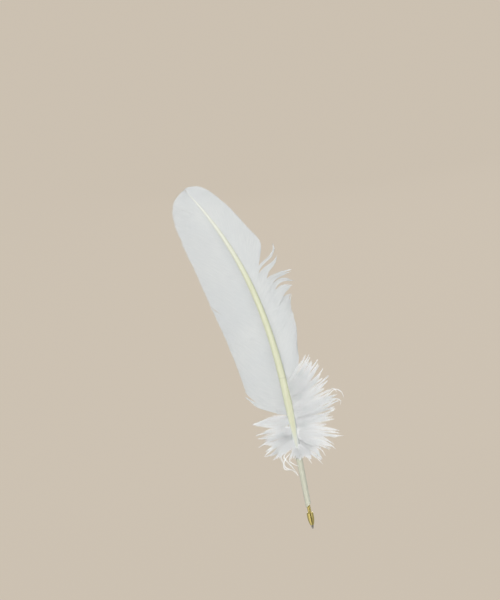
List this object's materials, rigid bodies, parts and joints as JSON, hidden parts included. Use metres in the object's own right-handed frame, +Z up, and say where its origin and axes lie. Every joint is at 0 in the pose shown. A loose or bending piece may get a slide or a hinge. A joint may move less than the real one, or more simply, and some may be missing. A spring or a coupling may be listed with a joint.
{
  "type": "feather quill pen",
  "caption": "White goose-feather quill pen: hollow calamus holding a pull-out brass ballpoint refill, with a pale yellow rachis, split vanes and a tuft of down.",
  "frame": {"origin": "lowest point of the writing ball, on the axis of the refill and calamus", "axes": "+Z up the calamus towards the feather; the outer (dorsal) face looks along -Y; the broad trailing vane is on -X and the narrow leading vane on +X"},
  "size_m": [0.1067, 0.0163, 0.2867],
  "materials": {
    "carbide": "polished tungsten carbide",
    "nickel_silver": "turned nickel silver, satin",
    "brass_polished": "polished",
    "brass_tube": "drawn, bright",
    "ink": "wet paste ink",
    "grease": "clear grease",
    "calamus_keratin": "translucent horn, smooth",
    "bush_plastic": "thin natural plastic sleeve",
    "pith": "dry white foam",
    "rachis_keratin": "pale yellow horn, satin",
    "vane": "white barbs, soft sheen",
    "down": "white down"
  },
  "bodies": {
    "quill": {"calamus": "calamus_keratin", "down_leading_01": "down", "down_leading_02": "down", "down_leading_03": "down", "down_leading_04": "down", "down_leading_05": "down", "down_leading_06": "down", "down_leading_07": "down", "down_leading_08": "down", "down_leading_09": "down", "down_leading_10": "down", "down_leading_11": "down", "down_leading_12": "down", "down_leading_13": "down", "down_trailing_01": "down", "down_trailing_02": "down", "down_trailing_03": "down", "down_trailing_04": "down", "down_trailing_05": "down", "lock_leading_1": "vane", "lock_leading_2": "vane", "lock_leading_3": "vane", "lock_leading_4": "vane", "lock_leading_5": "vane", "lock_trailing_edge": "vane", "mouth_bush": "bush_plastic", "rachis": "rachis_keratin", "rachis_pith": "pith", "umbilicus_plug": "pith", "vane_leading_middle": "vane", "vane_leading_upper": "vane", "vane_trailing_lower": "vane", "vane_trailing_upper": "vane", "wisp_trailing_01": "down", "wisp_trailing_02": "down", "wisp_trailing_03": "down"},
    "refill": {"nose_cone": "brass_polished", "ink_tube": "brass_tube", "point_socket": "nickel_silver", "ink_charge": "ink", "ink_follower": "grease"},
    "ball": {"writing_ball": "carbide"}
  },
  "joints": [
    {"name": "refill_pull", "type": "slide", "parent": "quill", "child": "refill", "axis": [0, 0, -1], "range_m": [0, 0.04]},
    {"name": "ball_roll", "type": "hinge", "parent": "refill", "child": "ball", "pos_m": [0, 0, 0.0005], "axis": [1, 0, 0], "continuous": true}
  ]
}
